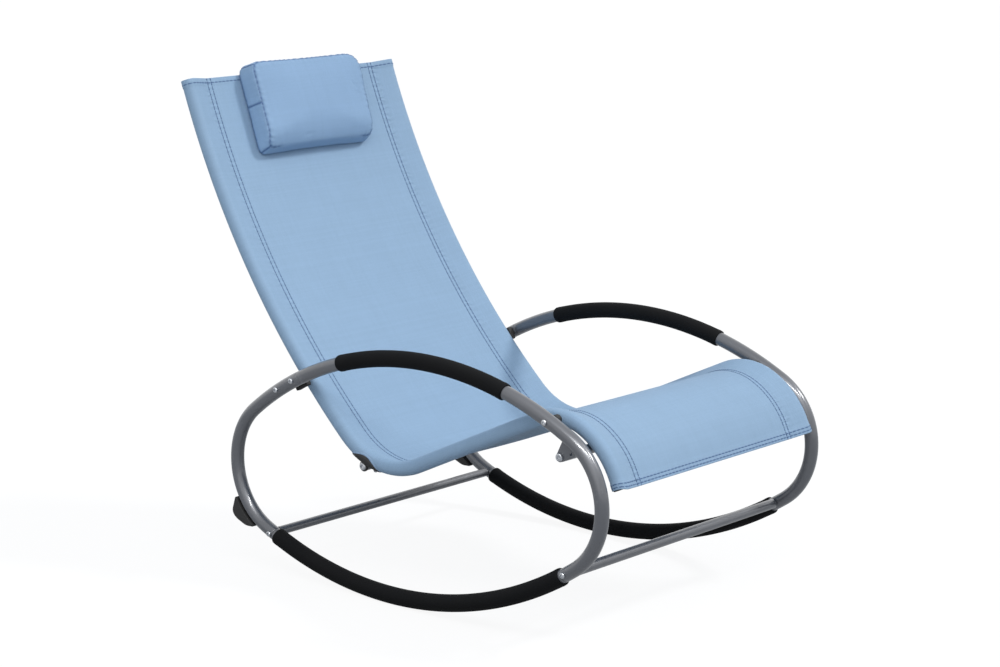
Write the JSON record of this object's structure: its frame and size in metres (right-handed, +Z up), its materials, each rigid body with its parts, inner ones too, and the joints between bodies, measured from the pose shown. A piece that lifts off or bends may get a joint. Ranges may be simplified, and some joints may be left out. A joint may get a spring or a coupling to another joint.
{
  "type": "rocking chaise lounge",
  "caption": "Outdoor rocking lounge chair: a woven mesh sling on bent side rails, carried by oval tube hoops with foam sleeves, and a padded head pillow.",
  "frame": {"origin": "on the floor, under the middle of the chair's length and width", "axes": "+X towards the sitter's left, +Y from the feet towards the back of the head, +Z up"},
  "size_m": [0.6114, 1.0318, 0.8874],
  "materials": {
    "frame_paint": "mid grey powder coat, satin with a fine sheen",
    "foam_sleeve": "black closed-cell foam with a smooth skin",
    "black_plastic": "black moulded plastic, matt",
    "zinc_screw": "bright zinc plate",
    "mesh_fabric": "light blue coated mesh, plain weave, with blue seams"
  },
  "bodies": {
    "frame": {"rear_bow_right": "frame_paint", "front_bow_right": "frame_paint", "rocker_tube_right": "frame_paint", "rocker_sleeve_right": "foam_sleeve", "arm_sleeve_right": "foam_sleeve", "rear_stop_right": "black_plastic", "rear_mount_block_right": "black_plastic", "front_bracket_right": "frame_paint", "front_mount_spacer_right": "black_plastic", "side_rail_right": "frame_paint", "corner_saddle_right": "black_plastic", "rail_top_plug_right": "black_plastic", "rail_front_plug_right": "black_plastic", "splice_screw_right": "zinc_screw", "rear_rail_screw_right": "zinc_screw", "front_rail_screw_right": "zinc_screw", "rear_bar_screw_right": "zinc_screw", "front_bar_screw_right": "zinc_screw", "bracket_bolt_right": "zinc_screw", "corner_bolt_right": "zinc_screw", "saddle_screw_right": "zinc_screw", "stop_screw_right": "zinc_screw", "rear_bow_left": "frame_paint", "front_bow_left": "frame_paint", "rocker_tube_left": "frame_paint", "rocker_sleeve_left": "foam_sleeve", "arm_sleeve_left": "foam_sleeve", "rear_stop_left": "black_plastic", "rear_mount_block_left": "black_plastic", "front_bracket_left": "frame_paint", "front_mount_spacer_left": "black_plastic", "side_rail_left": "frame_paint", "corner_saddle_left": "black_plastic", "rail_top_plug_left": "black_plastic", "rail_front_plug_left": "black_plastic", "splice_screw_left": "zinc_screw", "rear_rail_screw_left": "zinc_screw", "front_rail_screw_left": "zinc_screw", "rear_bar_screw_left": "zinc_screw", "front_bar_screw_left": "zinc_screw", "bracket_bolt_left": "zinc_screw", "corner_bolt_left": "zinc_screw", "saddle_screw_left": "zinc_screw", "stop_screw_left": "zinc_screw", "rear_cross_bar": "frame_paint", "front_cross_bar": "frame_paint", "rear_spreader": "frame_paint", "front_spreader": "frame_paint", "sling": "mesh_fabric"},
    "pillow": {"pillow": "mesh_fabric", "pillow_flap": "mesh_fabric"}
  },
  "joints": [
    {"name": "pillow_slide", "type": "slide", "parent": "frame", "child": "pillow", "axis": [0, 0.3411, 0.94], "range_m": [0, 0.11]}
  ]
}
